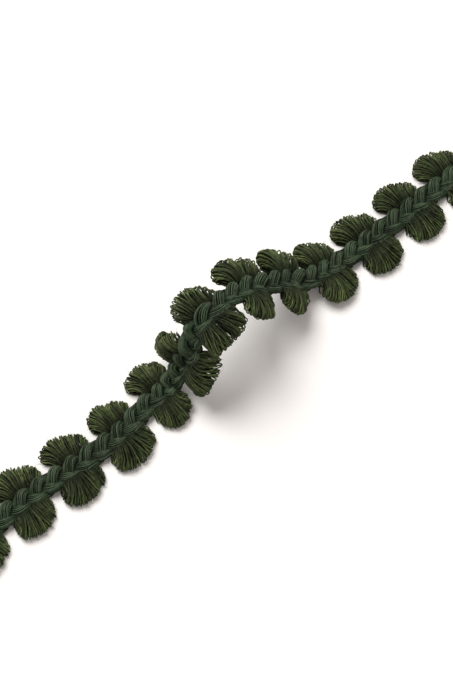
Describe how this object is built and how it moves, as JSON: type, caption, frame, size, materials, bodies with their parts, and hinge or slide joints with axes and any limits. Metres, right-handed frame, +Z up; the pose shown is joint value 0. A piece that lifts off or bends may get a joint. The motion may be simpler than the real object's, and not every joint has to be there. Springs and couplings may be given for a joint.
{
  "type": "festoon braid trim",
  "caption": "Dark green plaited braid trim with a fan of yarn loops on each side of every repeat, lying flat but for one raised hump.",
  "frame": {"origin": "middle of the trim's box, on the floor that it lies on", "axes": "+X along the trim, +Y across it towards the left fans, +Z up from the floor"},
  "size_m": [0.1488, 0.0194, 0.0227],
  "materials": {
    "plait_yarn": "matt dyed cotton yarn, plaited",
    "fan_yarn": "matt dyed cotton yarn loops"
  },
  "bodies": {
    "root": {"plait": "plait_yarn", "fan_left_01": "fan_yarn", "fan_left_02": "fan_yarn", "fan_left_03": "fan_yarn", "fan_left_04": "fan_yarn", "fan_left_05": "fan_yarn", "fan_left_06": "fan_yarn", "fan_left_07": "fan_yarn", "fan_left_08": "fan_yarn", "fan_left_09": "fan_yarn", "fan_left_10": "fan_yarn", "fan_left_11": "fan_yarn", "fan_left_12": "fan_yarn", "fan_left_13": "fan_yarn", "fan_right_01": "fan_yarn", "fan_right_02": "fan_yarn", "fan_right_03": "fan_yarn", "fan_right_04": "fan_yarn", "fan_right_05": "fan_yarn", "fan_right_06": "fan_yarn", "fan_right_07": "fan_yarn", "fan_right_08": "fan_yarn", "fan_right_09": "fan_yarn", "fan_right_10": "fan_yarn", "fan_right_11": "fan_yarn", "fan_right_12": "fan_yarn", "fan_right_13": "fan_yarn"}
  },
  "joints": []
}
